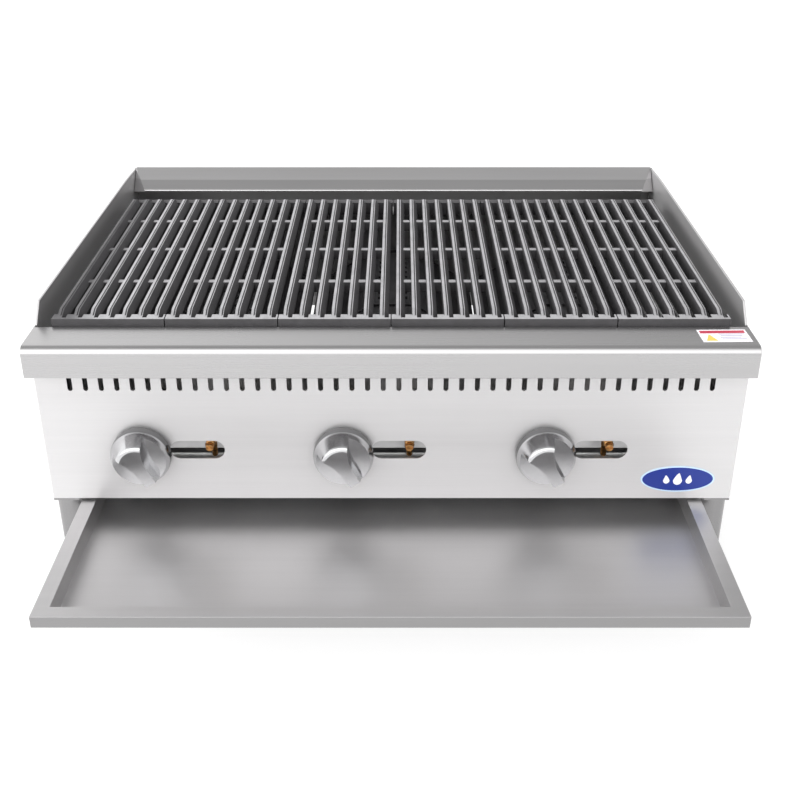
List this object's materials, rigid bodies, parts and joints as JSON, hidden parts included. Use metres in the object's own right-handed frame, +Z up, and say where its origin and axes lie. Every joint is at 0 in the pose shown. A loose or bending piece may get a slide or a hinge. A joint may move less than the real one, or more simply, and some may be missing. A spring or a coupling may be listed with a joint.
{
  "type": "gas charbroiler",
  "caption": "Counter-top gas charbroiler: stainless cabinet on levelling legs, cast-iron grates over radiants and U-shaped burners, valves with knobs, and a pull-out drip tray.",
  "frame": {"origin": "middle of the footprint on the floor, with the drip tray pulled out as it is at rest", "axes": "+Z up, +Y from the control panel to the back, +X to the right when facing the controls"},
  "size_m": [0.914, 0.945, 0.386],
  "materials": {
    "stainless": "brushed, satin",
    "aluminised_steel": "dull, plain",
    "chrome": "polished",
    "grate_iron": "rough cast, ground tops",
    "radiant_iron": "rough cast",
    "burner_steel": "dull mill finish",
    "black_pipe": "black varnish",
    "brass": "machined",
    "zinc": "zinc plated",
    "badge_blue": "gloss enamel",
    "foot_grey": "satin"
  },
  "bodies": {
    "cabinet": {"left_side_panel": "stainless", "right_side_panel": "stainless", "back_panel": "stainless", "control_panel": "stainless", "front_rail": "stainless", "left_splash": "stainless", "right_splash": "stainless", "back_splash": "stainless", "firebox_front": "aluminised_steel", "firebox_back": "aluminised_steel", "firebox_left": "aluminised_steel", "firebox_right": "aluminised_steel", "front_grate_rest": "aluminised_steel", "rear_grate_rest": "aluminised_steel", "left_tray_runner": "aluminised_steel", "right_tray_runner": "aluminised_steel", "front_left_leg": "stainless", "front_right_leg": "stainless", "rear_left_leg": "stainless", "rear_right_leg": "stainless", "manifold": "black_pipe", "gas_inlet_nipple": "black_pipe", "left_gas_valve": "brass", "middle_gas_valve": "brass", "right_gas_valve": "brass", "pilot_valves": "brass", "pilot_tubes": "burner_steel", "pilot_burners": "burner_steel", "left_burner": "burner_steel", "middle_burner": "burner_steel", "right_burner": "burner_steel", "orifice_hoods": "brass", "screws": "zinc", "badge": "badge_blue"},
    "left_knob": {"left_knob": "chrome", "left_valve_stem": "zinc"},
    "middle_knob": {"middle_knob": "chrome", "middle_valve_stem": "zinc"},
    "right_knob": {"right_knob": "chrome", "right_valve_stem": "zinc"},
    "left_pilot_screw": {"left_pilot_screw": "brass"},
    "middle_pilot_screw": {"middle_pilot_screw": "brass"},
    "right_pilot_screw": {"right_pilot_screw": "brass"},
    "left_air_shutter": {"left_air_shutter": "burner_steel"},
    "middle_air_shutter": {"middle_air_shutter": "burner_steel"},
    "right_air_shutter": {"right_air_shutter": "burner_steel"},
    "left_radiant": {"left_radiant": "radiant_iron"},
    "middle_radiant": {"middle_radiant": "radiant_iron"},
    "right_radiant": {"right_radiant": "radiant_iron"},
    "grate_1": {"grate_1": "grate_iron"},
    "grate_2": {"grate_2": "grate_iron"},
    "grate_3": {"grate_3": "grate_iron"},
    "grate_4": {"grate_4": "grate_iron"},
    "grate_5": {"grate_5": "grate_iron"},
    "grate_6": {"grate_6": "grate_iron"},
    "drip_tray": {"drip_tray": "stainless"},
    "front_left_foot": {"front_left_foot": "foot_grey"},
    "front_right_foot": {"front_right_foot": "foot_grey"},
    "rear_left_foot": {"rear_left_foot": "foot_grey"},
    "rear_right_foot": {"rear_right_foot": "foot_grey"}
  },
  "joints": [
    {"name": "left_knob_turn", "type": "hinge", "parent": "cabinet", "child": "left_knob", "pos_m": [-0.329, -0.2375, 0.195], "axis": [0, -1, 0], "range_deg": [0, 90]},
    {"name": "middle_knob_turn", "type": "hinge", "parent": "cabinet", "child": "middle_knob", "pos_m": [-0.063, -0.2375, 0.195], "axis": [0, -1, 0], "range_deg": [0, 90]},
    {"name": "right_knob_turn", "type": "hinge", "parent": "cabinet", "child": "right_knob", "pos_m": [0.203, -0.2375, 0.195], "axis": [0, -1, 0], "range_deg": [0, 90]},
    {"name": "left_pilot_screw_turn", "type": "hinge", "parent": "cabinet", "child": "left_pilot_screw", "pos_m": [-0.242, -0.2075, 0.196], "axis": [0, 1, 0], "range_deg": [-180, 180]},
    {"name": "middle_pilot_screw_turn", "type": "hinge", "parent": "cabinet", "child": "middle_pilot_screw", "pos_m": [0.024, -0.2075, 0.196], "axis": [0, 1, 0], "range_deg": [-180, 180]},
    {"name": "right_pilot_screw_turn", "type": "hinge", "parent": "cabinet", "child": "right_pilot_screw", "pos_m": [0.29, -0.2075, 0.196], "axis": [0, 1, 0], "range_deg": [-180, 180]},
    {"name": "left_air_shutter_turn", "type": "hinge", "parent": "cabinet", "child": "left_air_shutter", "pos_m": [-0.329, -0.1425, 0.195], "axis": [0, 1, 0], "range_deg": [0, 55]},
    {"name": "middle_air_shutter_turn", "type": "hinge", "parent": "cabinet", "child": "middle_air_shutter", "pos_m": [-0.063, -0.1425, 0.195], "axis": [0, 1, 0], "range_deg": [0, 55]},
    {"name": "right_air_shutter_turn", "type": "hinge", "parent": "cabinet", "child": "right_air_shutter", "pos_m": [0.203, -0.1425, 0.195], "axis": [0, 1, 0], "range_deg": [0, 55]},
    {"name": "left_radiant_lift", "type": "slide", "parent": "cabinet", "child": "left_radiant", "axis": [0, 0, 1], "range_m": [0, 0.06]},
    {"name": "middle_radiant_lift", "type": "slide", "parent": "cabinet", "child": "middle_radiant", "axis": [0, 0, 1], "range_m": [0, 0.06]},
    {"name": "right_radiant_lift", "type": "slide", "parent": "cabinet", "child": "right_radiant", "axis": [0, 0, 1], "range_m": [0, 0.06]},
    {"name": "grate_1_lift", "type": "slide", "parent": "cabinet", "child": "grate_1", "axis": [0, 0, 1], "range_m": [0, 0.12]},
    {"name": "grate_2_lift", "type": "slide", "parent": "cabinet", "child": "grate_2", "axis": [0, 0, 1], "range_m": [0, 0.12]},
    {"name": "grate_3_lift", "type": "slide", "parent": "cabinet", "child": "grate_3", "axis": [0, 0, 1], "range_m": [0, 0.12]},
    {"name": "grate_4_lift", "type": "slide", "parent": "cabinet", "child": "grate_4", "axis": [0, 0, 1], "range_m": [0, 0.12]},
    {"name": "grate_5_lift", "type": "slide", "parent": "cabinet", "child": "grate_5", "axis": [0, 0, 1], "range_m": [0, 0.12]},
    {"name": "grate_6_lift", "type": "slide", "parent": "cabinet", "child": "grate_6", "axis": [0, 0, 1], "range_m": [0, 0.12]},
    {"name": "tray_slide", "type": "slide", "parent": "cabinet", "child": "drip_tray", "axis": [0, -1, 0], "range_m": [-0.23, 0.44]},
    {"name": "front_left_foot_turn", "type": "hinge", "parent": "cabinet", "child": "front_left_foot", "pos_m": [-0.4405, -0.2055, 0.01], "axis": [0, 0, 1], "continuous": true},
    {"name": "front_right_foot_turn", "type": "hinge", "parent": "cabinet", "child": "front_right_foot", "pos_m": [0.4405, -0.2055, 0.01], "axis": [0, 0, 1], "continuous": true},
    {"name": "rear_left_foot_turn", "type": "hinge", "parent": "cabinet", "child": "rear_left_foot", "pos_m": [-0.4405, 0.4025, 0.01], "axis": [0, 0, 1], "continuous": true},
    {"name": "rear_right_foot_turn", "type": "hinge", "parent": "cabinet", "child": "rear_right_foot", "pos_m": [0.4405, 0.4025, 0.01], "axis": [0, 0, 1], "continuous": true}
  ]
}
